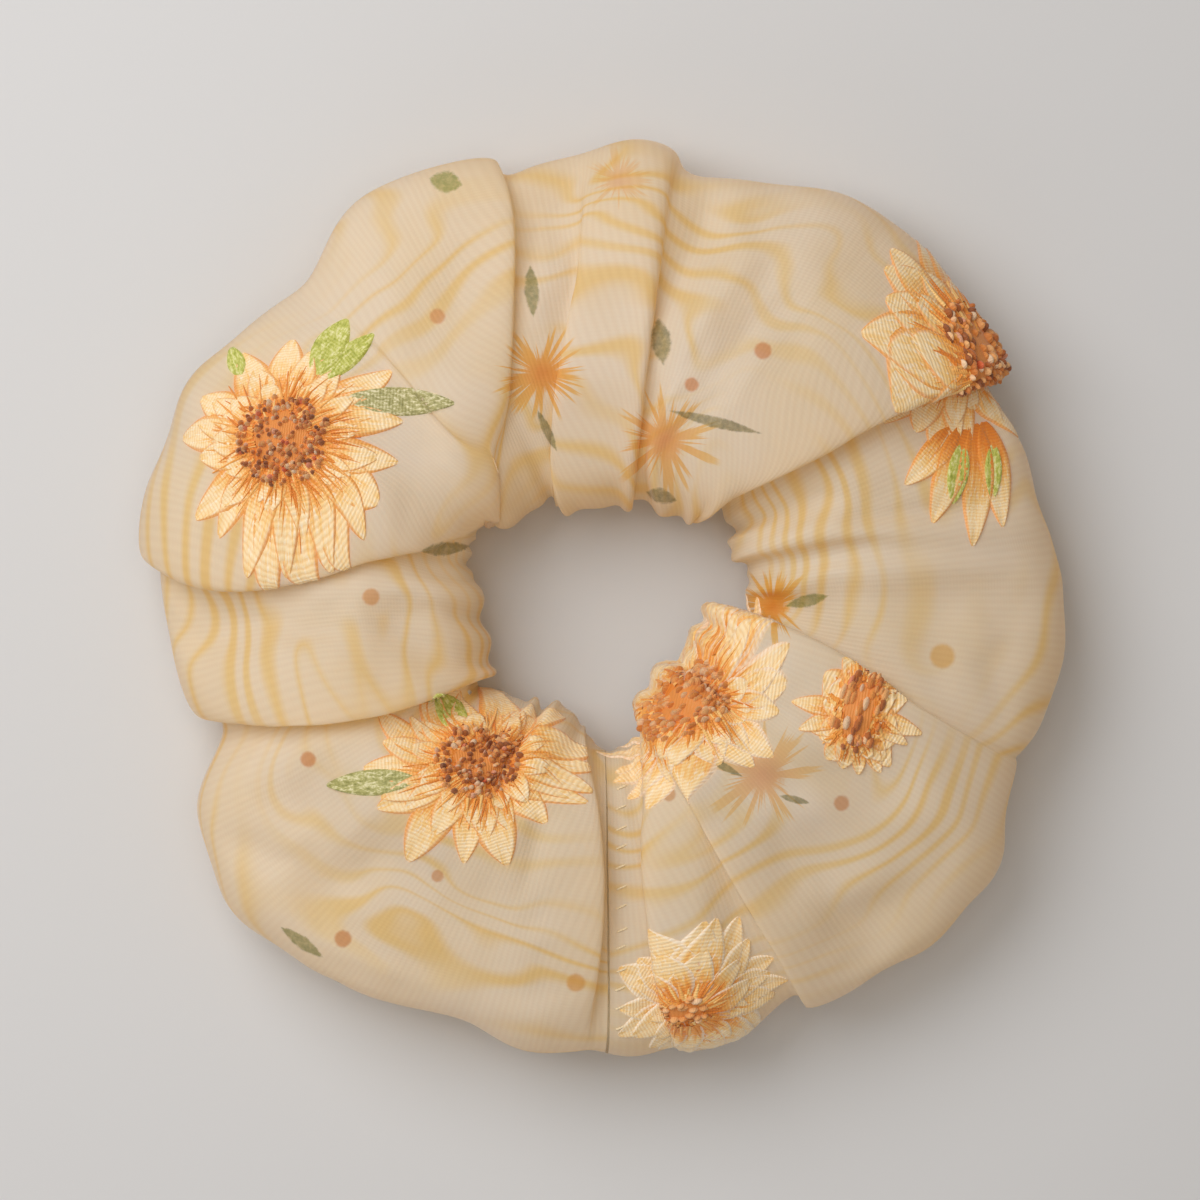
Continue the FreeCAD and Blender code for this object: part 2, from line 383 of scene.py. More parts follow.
class Nodes:
    """Shorthand for building one material's nodes."""

    def __init__(self, name):
        self.material = bpy.data.materials.new(name)
        self.material.use_nodes = True
        self.tree = self.material.node_tree
        self.tree.nodes.clear()

    def add(self, kind, **settings):
        node = self.tree.nodes.new("ShaderNode" + kind)
        for key, value in settings.items():
            setattr(node, key, value)
        return node

    def link(self, source, target):
        self.tree.links.new(source, target)

    def put(self, target, value):
        if isinstance(value, bpy.types.NodeSocket):
            self.link(value, target)
        else:
            target.default_value = value

    def math(self, operation, a, b=0.0):
        node = self.add("Math", operation=operation)
        self.put(node.inputs[0], a)
        self.put(node.inputs[1], b)
        return node.outputs[0]

    def plus(self, a, b):
        return self.math("ADD", a, b)

    def minus(self, a, b):
        return self.math("SUBTRACT", a, b)

    def sine(self, a):
        return self.math("SINE", a)

    def product(self, a, *factors):
        for factor in factors:
            a = self.math("MULTIPLY", a, factor)
        return a

    def scaled(self, vector, *scales):
        return self.vector("MULTIPLY", vector, scales)

    def vector(self, operation, a, b=(0, 0, 0)):
        node = self.add("VectorMath", operation=operation)
        self.put(node.inputs[0], a)
        self.put(node.inputs[1], b)
        return node.outputs[1 if operation == "LENGTH" else 0]

    def parts(self, vector):
        node = self.add("SeparateXYZ")
        self.link(vector, node.inputs[0])
        return node.outputs

    def attribute(self, name):
        return self.add("Attribute", attribute_name=name).outputs["Vector"]

    def noise(self, vector, scale, detail=2.0, roughness=0.5, distortion=0.0):
        node = self.add("TexNoise")
        self.link(vector, node.inputs["Vector"])
        node.inputs["Scale"].default_value = scale
        node.inputs["Detail"].default_value = detail
        node.inputs["Roughness"].default_value = roughness
        node.inputs["Distortion"].default_value = distortion
        return node.outputs["Fac"]

    def ramp(self, value, stops):
        """Stops are (position, red, green, blue)."""
        node = self.add("ValToRGB")
        self.link(value, node.inputs[0])
        elements = node.color_ramp.elements
        while len(elements) < len(stops):
            elements.new(0.5)
        for element, (position, *colour) in zip(elements, stops):
            element.position = position
            element.color = linear(*colour)
        return node.outputs[0]

    def mask(self, value, low, high):
        """0 below low and 1 above high, smoothly (or the other way round if high is less)."""
        node = self.add("MapRange", interpolation_type="SMOOTHSTEP")
        self.link(value, node.inputs["Value"])
        node.inputs["From Min"].default_value = low
        node.inputs["From Max"].default_value = high
        return node.outputs[0]

    def mix(self, factor, a, b, blend="MIX"):
        node = self.add("Mix", data_type="RGBA", blend_type=blend)
        self.put(node.inputs[0], factor)
        self.put(node.inputs[6], a)
        self.put(node.inputs[7], b)
        return node.outputs[2]

    def bump(self, height, distance, normal=None):
        node = self.add("Bump")
        self.link(height, node.inputs["Height"])
        node.inputs["Distance"].default_value = distance * MM
        if normal is not None:
            self.link(normal, node.inputs["Normal"])
        return node.outputs[0]

    def finish(self, colour, normal=None, translucent=0.0, **values):
        """A Principled surface, with light passing through it where it is thin."""
        surface = self.add("BsdfPrincipled")
        self.put(surface.inputs["Base Color"], colour)
        for key, value in values.items():
            self.put(surface.inputs[key.replace("_", " ")], value)
        if normal is not None:
            self.link(normal, surface.inputs["Normal"])
        output = self.add("OutputMaterial")
        shader = surface.outputs[0]
        if translucent:
            through = self.add("BsdfTranslucent")
            warm = self.mix(1.0, colour, linear(255, 232, 168), "MULTIPLY")
            self.put(through.inputs["Color"], warm)
            if normal is not None:
                self.link(normal, through.inputs["Normal"])
            mixed = self.add("MixShader")
            mixed.inputs[0].default_value = translucent
            self.link(shader, mixed.inputs[1])
            self.link(through.outputs[0], mixed.inputs[2])
            shader = mixed.outputs[0]
        self.link(shader, output.inputs["Surface"])
        return self.material


RIB_PITCH, THREAD_PITCH = 0.95, 0.42     # of the weave, in millimetres
WEAVE_DEPTH, CREASE_DEPTH = 0.018, 0.5


def cloth_material():
    n = Nodes("printed_cloth")
    strip_at = n.attribute("strip")
    along, across, _ = n.parts(strip_at)
    # marbled lines: level lines of a slow noise, drawn out along the strip
    swell = n.noise(n.scaled(strip_at, 0.016, 0.034, 1.0), 1.0, 2.0, 0.45, 0.4)
    levels = n.plus(n.product(swell, 15.0), n.product(across, 0.22))
    saw = n.math("PINGPONG", levels, 0.5)
    thick = n.noise(n.scaled(strip_at, 0.03, 0.11, 1.0), 1.0, 1.0)
    line = n.mask(n.plus(saw, n.product(n.minus(thick, 0.5), 0.5)), 0.20, 0.50)
    patch = n.noise(n.scaled(strip_at, 0.018, 0.045, 1.0), 1.0, 2.0, 0.5)
    where = n.mask(patch, 0.36, 0.58)
    base = n.ramp(n.noise(n.scaled(strip_at, 0.05, 0.05, 1), 1.0, 3.0),
                  [(0.3, 253, 243, 216), (0.7, 255, 251, 238)])
    yellow = n.ramp(patch, [(0.35, 255, 238, 176), (0.65, 253, 224, 144)])
    colour = n.mix(n.product(line, where, 0.8), base, yellow)
    colour = printed_motifs(n, colour)
    # the weave: ribs across the strip and finer threads along it
    rib = n.sine(n.product(along, 2 * math.pi / RIB_PITCH))
    thread = n.sine(n.product(across, 2 * math.pi / THREAD_PITCH))
    weave = n.plus(n.product(rib, 0.4), n.product(thread, 0.15))
    slub = n.noise(n.scaled(strip_at, 3.0, 0.35, 1), 1.0, 2.0)
    creases = n.noise(n.scaled(strip_at, 0.10, 0.025, 1.0), 1.0, 1.5, 0.4, 0.5)
    normal = n.bump(n.plus(weave, slub), WEAVE_DEPTH, n.bump(creases, CREASE_DEPTH))
    shaded = n.mix(1.0, colour, linear(220, 190, 150), "MULTIPLY")
    colour = n.mix(n.product(n.mask(weave, -0.6, 0.6), 0.08), colour, shaded)
    return n.finish(colour, normal, translucent=0.46, Roughness=0.5,
                    Sheen_Weight=0.55, Sheen_Roughness=0.32, Specular_IOR_Level=0.4)


# Printed on the cloth, in millimetres as seen from above: x, y, radius and colour of each dot
DOTS = [
    (-21.7, 36.3, 1.0, (232, 168, 110)), (19.9, 31.8, 1.1, (226, 150, 88)), (10.8, 27.5, 0.9, (232, 158, 96)),
    (-30.2, 0.4, 1.1, (236, 176, 104)), (-38.3, -20.4, 1.0, (226, 150, 84)),
    (-33.9, -43.5, 1.1, (218, 146, 84)), (-21.7, -35.3, 0.8, (228, 170, 116)),
    (30.0, -26.0, 1.0, (224, 162, 106)), (43.0, -7.2, 1.6, (240, 196, 104)),
    (7.9, -24.9, 0.9, (222, 168, 106)), (-4.0, -49.0, 1.2, (240, 184, 96)),
]
# Leaves: both ends, width, and how green (0 olive, 1 light green)
LEAVES = [
    ((-9.9, 43.0), (-9.4, 36.2), 2.0, 0.4), ((-9.0, 24.5), (-6.4, 19.0), 1.2, 0.1),
    ((6.6, 36.2), (7.2, 30.0), 2.7, 0.1), ((7.9, 24.2), (19.8, 21.2), 1.5, 0.0),
    ((5.0, 14.0), (9.0, 12.8), 2.0, 0.0), ((-23.0, 54.4), (-18.6, 53.4), 3.2, 1.0),
    ((-24.0, 6.2), (-17.6, 7.0), 1.8, 0.1), ((23.0, -0.8), (28.5, 0.6), 1.7, 0.6),
    ((12.4, -20.0), (17.4, -22.6), 1.0, 0.1), ((22.0, -25.0), (26.0, -26.0), 1.0, 0.1),
    ((-42.0, -42.0), (-36.5, -46.0), 1.8, 0.5), ((4.6, -46.6), (6.4, -51.0), 1.2, 0.5),
]
# Small printed flowers: x, y, reach, number of petals, strength
PRINTED_FLOWERS = [
    (-8.4, 29.0, 6.6, 15, 0.9), (7.4, 20.5, 7.6, 11, 0.75), (19.9, -22.4, 8.0, 13, 0.6),
    (21.4, -0.8, 5.6, 11, 0.95), (1.5, 54.0, 5.0, 9, 0.4),
]


def printed_motifs(n, colour):
    """Dots, leaves and small flowers of the print, on the upper side of the cloth."""
    plan = n.attribute("plan")
    x, y, z = n.parts(plan)
    upper = n.mask(z, 7.0, 10.0)
    streaks = n.noise(n.scaled(plan, 1.3, 1.3, 1.3), 1.0, 4.0, 0.7)
    ragged = n.product(n.minus(streaks, 0.5), 1.6)

    def printed(inside, strength, tint):
        return n.mix(n.product(inside, upper, strength), colour, tint)

    for cx, cy, reach, petals, strength in PRINTED_FLOWERS:
        offset = n.scaled(n.vector("SUBTRACT", plan, (cx, cy, 0)), 1, 1, 0)
        far = n.vector("LENGTH", offset)
        way = n.scaled(n.vector("NORMALIZE", offset), petals / 3.4, petals / 3.4, 1)
        rays = n.noise(n.vector("ADD", way, (cx, cy, 0)), 1.0, 3.0, 0.7)
        reached = n.product(n.mask(rays, 0.30, 0.66), reach)
        inside = n.mask(n.minus(far, reached), 0.5, -0.9)
        core = n.mask(n.plus(far, n.product(ragged, 1.5)), reach * 0.42, reach * 0.2)
        near = n.plus(n.math("DIVIDE", far, reach), n.product(ragged, 0.16))
        tint = n.ramp(near, [(0.05, 244, 162, 60), (0.4, 252, 194, 90),
                             (1.0, 253, 222, 142)])
        colour = printed(n.math("MAXIMUM", inside, core), strength, tint)
    for start, end, width, green in LEAVES:
        start, end = np.array(start), np.array(end)
        length = float(np.linalg.norm(end - start))
        way = (end - start) / length
        cx, cy = (start + end) / 2
        dx, dy = n.minus(x, float(cx)), n.minus(y, float(cy))
        u = n.plus(n.product(dx, float(way[0])), n.product(dy, float(way[1])))
        v = n.minus(n.product(dy, float(way[0])), n.product(dx, float(way[1])))
        u, v = n.product(u, 2 / length), n.product(v, 2 / width)
        v = n.plus(n.math("ABSOLUTE", v), n.product(ragged, 0.35))
        inside = n.mask(n.plus(n.product(u, u), v), 1.1, 0.7)
        dark, pale = np.array((128, 126, 84.0)), np.array((142, 162, 58.0))
        tint = dark + (pale - dark) * green
        lighter = tint + (np.array((226, 216, 170)) - tint) * 0.55
        leaf = n.ramp(streaks, [(0.38, *tint), (0.62, *lighter)])
        colour = printed(inside, 0.75, leaf)
    for cx, cy, radius, tint in DOTS:
        dx, dy = n.minus(x, cx), n.minus(y, cy)
        far = n.math("SQRT", n.plus(n.product(dx, dx), n.product(dy, dy)))
        inside = n.mask(n.plus(far, n.product(ragged, 0.2)), radius * 1.2, radius * 0.75)
        colour = printed(inside, 0.7, linear(*tint))
    return colour


def cover_pieces():
    """The cover in 12 pieces; the sheet's share in each follows the cloth that the model has there."""
    points, normals = cover.reshape(-1, 3), cover_normals.reshape(-1, 3)
    faces = ring_grid_faces(fine_columns, fine_rows)
    first = faces[fine_rows // 4]
    a, b, c = points[first[:3]]
    if np.dot(np.cross(b - a, c - b), normals[first[0]]) < 0:
        faces = faces[:, ::-1]
    made = ring_pieces("cloth_cover", points, faces, {"strip": strip.reshape(-1, 3), "plan": points},
                       [cloth_material()], normals)
    for obj, number in zip(made, range(1, SEGMENTS + 1)):
        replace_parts(obj, "cover_gather_%02d" % number)
    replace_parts(made[-1], "cover_gather_%02d" % (SEGMENTS + 1))


# ---------------------------------------------------------------- places on the cloth

def spot_on_cover(x, y):
    """Column and row of the cloth's topmost point near a place seen from above."""
    reach = np.hypot(cover[..., 0] - x, cover[..., 1] - y)
    facing = cover_normals[..., 2] > -0.05
    nearest = np.where(facing, reach, 1e9).min()
    score = np.where(facing & (reach < nearest + 0.7), reach - cover[..., 2], 1e9)
    return np.unravel_index(np.argmin(score), score.shape)


def sample(values, column, row):
    """Values of the cloth's grid at fractional columns and rows."""
    i, j = np.floor(column).astype(int), np.floor(row).astype(int)
    s, t = (column - i)[..., None], (row - j)[..., None]
    i2, j2 = (i + 1) % fine_columns, (j + 1) % fine_rows
    i, j = i % fine_columns, j % fine_rows
    return ((1 - s) * (1 - t) * values[i, j] + s * (1 - t) * values[i2, j]
            + (1 - s) * t * values[i, j2] + s * t * values[i2, j2])


cover_tree = BVHTree.FromPolygons(cover.reshape(-1, 3).tolist(),
                                  ring_grid_faces(fine_columns, fine_rows).tolist())
DROP_REACH = 3.0                   # further than this from the cloth at hand is another fold


class Patch:
    """A flat working area laid on the cloth round one place, in millimetres, as seen from above."""

    def __init__(self, x, y):
        self.column, self.row = spot_on_cover(x, y)
        here = cover[self.column, self.row]
        self.radius = math.hypot(here[0], here[1])
        self.turn = math.atan2(here[1], here[0])
        ring = cover[self.column]
        self.row_step = np.linalg.norm(np.diff(ring, axis=0), axis=1).mean()

    def grid(self, x, y):
        """Column and row for offsets x, y from the middle of the patch."""
        sideways = -x * math.sin(self.turn) + y * math.cos(self.turn)
        outward = x * math.cos(self.turn) + y * math.sin(self.turn)
        radius = np.hypot(sideways, self.radius + outward)
        turn = np.arctan2(sideways, self.radius + outward)
        return (self.column + turn / (2 * math.pi) * fine_columns,
                self.row - (radius - self.radius) / self.row_step)

    def lay(self, x, y, height):
        """Offsets x, y laid along the cloth, with a height over it."""
        column, row = self.grid(x, y)
        normal = sample(smooth_normals, column, row)
        normal /= np.linalg.norm(normal, axis=-1, keepdims=True)
        return sample(cover, column, row) + normal * np.asarray(height)[..., None]

    def drop(self, x, y, height):
        """The same, straight down onto the top of the cloth, so that a shape keeps its plan."""
        here = cover[self.column, self.row]
        placed = self.lay(x, y, height)
        for index in np.ndindex(*np.shape(x)):
            start = Vector((here[0] + x[index], here[1] + y[index], 60.0))
            hit, normal, face, far = cover_tree.ray_cast(start, Vector((0, 0, -1)))
            if hit and abs(hit.z - placed[index][2]) < DROP_REACH:
                placed[index] = hit + normal * height[index]
        return placed


def soft_normals():
    values = cover_normals
    for _ in range(6):
        values = soften(values)
    return values / np.linalg.norm(values, axis=-1, keepdims=True)


smooth_normals = soft_normals()


# ---------------------------------------------------------------- embroidery

PETAL, HEART, LEAF = 0, 1, 2       # the embroidery's three materials


class Stitching:
    """Small raised shapes of thread, gathered into one mesh."""

    def __init__(self, patch):
        self.patch = patch
        self.straight_down = False
        self.points, self.faces, self.thread, self.tone, self.kinds = [], [], [], [], []
        self.count = 0

    def add(self, x, y, height, thread, tone, kind):
        """x, y and height are grids of the same shape; thread and tone hold three values a point."""
        rows, columns = x.shape
        placing = self.patch.drop if self.straight_down else self.patch.lay
        placed = placing(x, y, height)
        i, j = np.meshgrid(np.arange(rows - 1), np.arange(columns - 1), indexing="ij")
        corner = self.count + i * columns + j
        quads = np.stack([corner, corner + columns, corner + columns + 1, corner + 1], -1)
        self.points.append(placed.reshape(-1, 3))
        self.faces.append(quads.reshape(-1, 4))
        self.thread.append(np.broadcast_to(thread, (*x.shape, 3)).reshape(-1, 3))
        self.tone.append(np.broadcast_to(tone, (*x.shape, 3)).reshape(-1, 3))
        self.kinds.append(np.full(len(self.faces[-1]), kind))
        self.count += rows * columns

    def run(self, start, end, long, wide):
        """A grid along a line: shares along and across it, its length, and a placer of side offsets."""
        start, end = np.array(start, float), np.array(end, float)
        length = max(np.linalg.norm(end - start), 1e-3)
        ahead = (end - start) / length
        along, across = np.meshgrid(np.linspace(0, 1, long), np.linspace(-1, 1, wide), indexing="ij")

        def place(side):
            return (start[0] + ahead[0] * along * length - ahead[1] * side,
                    start[1] + ahead[1] * along * length + ahead[0] * side)
        return along, across, length, place

    def petal(self, start, end, width, rise, rng, kind=PETAL, pale=0.0, blunt=0.8, curl=0.0, long=40):
        """A pointed shape from start to end, domed, with a raised outline and stitches across it."""
        along, across, length, place = self.run(start, end, long, 11)
        half = width / 2 * np.maximum(np.sin(np.pi * np.clip(along, 0, 1) ** blunt), 0) ** 0.75
        half = np.maximum(half, width * 0.06 * (1 - along))
        bend = curl * width * np.sin(np.pi * along)
        x, y = place(across * half + bend)
        dome = np.sqrt(np.clip(1 - across ** 2, 0, 1))
        ends = np.clip(np.minimum(along, 1 - along) * 7, 0, 1) ** 0.5
        bead = np.exp(-((np.abs(across) - 0.8) / 0.16) ** 2)
        crease = np.exp(-(across / 0.22) ** 2)
        stitches = np.sin(along * length * 2 * np.pi / 0.9 + across * 0.8)
        height = ends * (rise * (0.35 + 0.65 * dome) + 0.12 * bead - 0.10 * crease + 0.016 * stitches)
        height = np.where(np.abs(across) > 0.99, -0.12, height)
        height[0] = height[-1] = -0.12
        name = rng.uniform(0, 50)
        thread = np.stack([along * length, across * half, np.full_like(along, name)], -1)
        tone = np.stack([along, across, np.full_like(along, pale)], -1)
        self.add(x, y, height, thread, tone, kind)

    def strand(self, start, end, width, rise, rng, tone):
        """One long stitch."""
        along, across, length, place = self.run(start, end, 9, 5)
        half = width / 2 * (1 - 0.75 * along)
        x, y = place(across * half)
        height = rise * np.sqrt(np.clip(1 - across ** 2, 0, 1)) * (1 - 0.6 * along)
        height = np.where(np.abs(across) > 0.99, -0.1, height)
        thread = np.stack([along * length, across * half, np.full_like(along, rng.uniform(0, 50))], -1)
        self.add(x, y, height, thread, (tone, rng.uniform(0, 1), 0.0), HEART)

    def knot(self, x, y, size, rise, rng, tone):
        """A French knot: a small round bead of thread."""
        turn, out = np.meshgrid(np.linspace(0, 2 * np.pi, 9), np.linspace(0, 1, 5), indexing="ij")
        px, py = x + size / 2 * out * np.cos(turn), y + size / 2 * out * np.sin(turn)
        height = rise * np.sqrt(np.clip(1 - out ** 2, 0, 1)) - 0.1 * out
        thread = np.stack([turn * size / 2, out * size, np.full_like(turn, rng.uniform(0, 50))], -1)
        self.add(px, py, height, thread, (tone, rng.uniform(0, 1), 1.0), HEART)

    def cushion(self, radius, rise, rng):
        """The padded round that the knots stand on."""
        turn, out = np.meshgrid(np.linspace(0, 2 * np.pi, 25), np.linspace(0, 1, 9), indexing="ij")
        edge = 1 + 0.08 * np.sin(turn * 5 + 1) + 0.05 * np.sin(turn * 9)
        px, py = radius * out * edge * np.cos(turn), radius * out * edge * np.sin(turn)
        height = rise * np.clip(1 - out ** 4, 0, 1) - 0.1 * out
        thread = np.stack([px, py, np.full_like(turn, rng.uniform(0, 50))], -1)
        self.add(px, py, height, thread, (0.47, 0.5, 1.0), HEART)

    def pieces(self, name):
        points, faces = np.concatenate(self.points), np.concatenate(self.faces)
        attributes = {"thread": np.concatenate(self.thread), "tone": np.concatenate(self.tone)}
        return ring_pieces(name, points, faces, attributes, EMBROIDERY,
                           material_index=np.concatenate(self.kinds))


def polar(radius, degrees):
    return radius * math.cos(math.radians(degrees)), radius * math.sin(math.radians(degrees))


# Each round of petals: reach, width and rise, and how far it is turned, in petals
PETAL_ROUNDS = ((1.0, 1.3, 0.14, 0.0), (0.88, 1.2, 0.24, 0.5), (0.64, 1.05, 0.36, 0.25))
FRINGE_PER_PETAL = 20
KNOTS_PER_AREA = 9.5               # times the square of the heart's radius


def sunflower(node, x, y, radius, petals, seed, pale=0.0, heart=0.34, leaves=(), knots=1.0,
              spread=()):
    """Three rounds of petals, a fringe of long stitches and a heart of knots."""
    rng = np.random.default_rng(seed)
    work = Stitching(Patch(x, y))
    core = radius * heart
    for leaf in leaves:
        leaf_stitches(work, rng, *leaf)
    work.straight_down = True
    for x0, y0, x1, y1, width in spread:
        work.petal((x0, y0), (x1, y1), width, 0.25, rng, pale=pale, curl=rng.uniform(-0.1, 0.1))
    work.straight_down = False
    for reach, wide, rise, turned in PETAL_ROUNDS:
        for i in range(petals):
            angle = 360.0 * (i + turned + rng.uniform(-0.25, 0.25)) / petals
            tip = radius * reach * rng.uniform(0.84, 1.06)
            width = wide * 2 * math.pi * radius * 0.6 / petals * rng.uniform(0.8, 1.15)
            work.petal(polar(core * 0.5, angle), polar(tip, angle + rng.uniform(-6, 6)), width,
                       rise * rng.uniform(0.85, 1.2), rng, pale=pale, curl=rng.uniform(-0.15, 0.15),
                       blunt=rng.uniform(0.75, 1.15))
    for _ in range(petals * FRINGE_PER_PETAL):
        angle = rng.uniform(0, 360)
        first = core * rng.uniform(0.6, 1.2)
        last = first + radius * rng.uniform(0.08, 0.34)
        work.strand(polar(first, angle), polar(last, angle + rng.uniform(-8, 8)),
                    0.5 * rng.uniform(0.6, 1.4), rng.uniform(0.4, 0.66), rng, rng.uniform(0.0, 1.0))
    work.cushion(core, 0.45, rng)
    for _ in range(int(KNOTS_PER_AREA * core * core * knots)):
        angle, out = rng.uniform(0, 360), core * math.sqrt(rng.uniform(0, 1.25))
        px, py = polar(out, angle)
        work.knot(px, py, rng.uniform(0.55, 1.0), rng.uniform(0.85, 1.3), rng,
                  rng.uniform(0.5 * pale, 1.0 - 0.1 * pale))
    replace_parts(work.pieces(node)[0], node)


def leaf_stitches(work, rng, x0, y0, x1, y1, width, green):
    """A stitched leaf. green is 0 for olive and 1 for light green."""
    work.straight_down = True
    work.petal((x0, y0), (x1, y1), width, 0.3, rng, LEAF, pale=green, blunt=0.9, long=30)
    work.straight_down = False


def thread_bump(n, pitch=0.42):
    """Fine threads lying across a stitched shape: the bumped normal, and the ribs' height."""
    thread = n.attribute("thread")
    along = n.parts(thread)[0]
    wander = n.noise(n.scaled(thread, 1.2, 2.0, 1.0), 1.0, 2.0)
    ribs = n.sine(n.plus(n.product(along, 2 * math.pi / pitch), n.product(wander, 5.0)))
    return n.bump(ribs, 0.02), ribs


def petal_material():
    n = Nodes("petal_thread")
    thread, tone = n.attribute("thread"), n.attribute("tone")
    along, across, pale = n.parts(tone)
    streak = n.noise(n.scaled(thread, 0.3, 3.0, 1.0), 1.0, 3.0, 0.65)
    fleck = n.noise(n.scaled(thread, 1.5, 4.0, 1.0), 1.0, 2.0, 0.6)
    reach = n.plus(along, n.product(n.minus(streak, 0.5), 0.8))
    body = n.ramp(reach, [(0.2, 226, 132, 40), (0.42, 243, 170, 78),
                          (0.6, 249, 207, 134), (0.8, 252, 228, 184),
                          (1.0, 247, 206, 134)])
    white = n.product(n.mask(fleck, 0.52, 0.68), n.mask(along, 0.2, 0.6), 0.6)
    body = n.mix(white, body, linear(252, 242, 224))
    edge = n.mask(n.math("ABSOLUTE", across), 0.66, 0.84)
    rim = n.mix(pale, linear(236, 150, 52), linear(252, 244, 230))
    colour = n.mix(n.product(edge, 0.7), body, rim)
    normal, ribs = thread_bump(n)
    # painted shade: the petal's colour is darkened in the grooves between the stitches, following the ribs of
    # the bump
    dark = n.mix(1.0, colour, linear(242, 220, 190), "MULTIPLY")
    colour = n.mix(n.product(n.mask(ribs, 0.2, -0.9), 0.5), colour, dark)
    return n.finish(colour, normal, Roughness=0.45, Sheen_Weight=0.3, Specular_IOR_Level=0.4)


def heart_material():
    n = Nodes("heart_thread")
    shade, _, knot = n.parts(n.attribute("tone"))
    fringe = n.ramp(shade, [(0.0, 224, 128, 40), (0.5, 242, 164, 70),
                            (1.0, 250, 208, 134)])
    beads = n.ramp(shade, [(0.0, 142, 80, 40), (0.22, 192, 108, 46),
                           (0.5, 230, 148, 70), (0.78, 240, 180, 116),
                           (0.94, 244, 212, 176), (1.0, 224, 92, 34)])
    colour = n.mix(knot, fringe, beads)
    normal = thread_bump(n, 0.3)[0]
    return n.finish(colour, normal, Roughness=0.5, Sheen_Weight=0.3, Specular_IOR_Level=0.35)


def leaf_material():
    n = Nodes("leaf_thread")
    thread = n.attribute("thread")
    green = n.parts(n.attribute("tone"))[2]
    streak = n.noise(n.scaled(thread, 1.4, 3.0, 1.0), 1.0, 3.0, 0.65)
    olive = n.ramp(streak, [(0.3, 132, 128, 74), (0.5, 178, 172, 114),
                            (0.64, 230, 222, 182)])
    light = n.ramp(streak, [(0.3, 150, 158, 56), (0.5, 194, 196, 92),
                            (0.68, 232, 228, 166)])
    colour = n.mix(green, olive, light)
    return n.finish(colour, thread_bump(n)[0], Roughness=0.5, Sheen_Weight=0.25, Specular_IOR_Level=0.4)


EMBROIDERY = [petal_material(), heart_material(), leaf_material()]


def embroidery():
    """Each flower: place, radius, petals and seed; a leaf or loose petal: both ends and width."""
    sunflower("sunflower_left", -41.8, 20.8, 15.4, 14, 3, leaves=[
        (4, 8, 8.5, 15.5, 4.5, 1.0), (5, 7.5, 12.0, 13.5, 3.2, 1.0), (-5.4, 8, -6.6, 12.0, 2.6, 1.0),
        (8.0, 5.0, 22.5, 4.4, 3.9, 0.0)])
    sunflower("sunflower_right", 49.6, 29.0, 16.5, 13, 4, heart=0.28, leaves=[
        (-3.4, -9, -4.8, -17, 3.2, 1.0), (0.6, -9, 0.4, -16.5, 2.6, 1.0)],
        spread=[(-1.6, -6.2, -2.2, -22.5, 4.8), (-3, -6.4, -7.4, -19.5, 4.8),
                (-0.5, -6.0, 1.8, -20, 4.4), (-4, -6.8, -11.0, -14.5, 4.2)])
    sunflower("sunflower_hole_left", -16.2, -20.8, 14.4, 14, 5, leaves=[
        (-2, 4, -6.0, 9.0, 4.0, 1.0), (-8, -2.0, -20, -2.8, 3.6, 0.2)])
    sunflower("sunflower_hole_right", 11.2, -11.8, 13.0, 13, 6, pale=0.75, heart=0.31)
    sunflower("sunflower_small", 31.8, -14.8, 5.4, 10, 7, pale=0.1, heart=0.42, spread=[
        (1, 0, 8.4, -2.4, 3.0), (1, -0.5, 6.5, -3.8, 2.6), (-1, 0.4, -8.5, 1.8, 3.0),
        (-1, -0.4, -7.6, -1.8, 2.8)])
    sunflower("sunflower_seam", 10.0, -53.2, 12.4, 12, 8, pale=0.95, heart=0.16, knots=0.5)


# ---------------------------------------------------------------- elastic and sewing threads

ELASTIC_RADIUS, ELASTIC_LEVEL = 21.6, 10.0
ELASTIC_WIDTH, ELASTIC_THICKNESS = 6.0, 1.0
LAP_TURN = 17.0                    # half of the lap, in degrees


def tube_faces(length, sides):
    """Faces of an open tube with points numbered round it first."""
    i, j = np.meshgrid(np.arange(length - 1), np.arange(sides), indexing="ij")
    j2 = (j + 1) % sides
    faces = np.stack([i * sides + j, i * sides + j2, (i + 1) * sides + j2, (i + 1) * sides + j], -1)
    return faces.reshape(-1, 4)


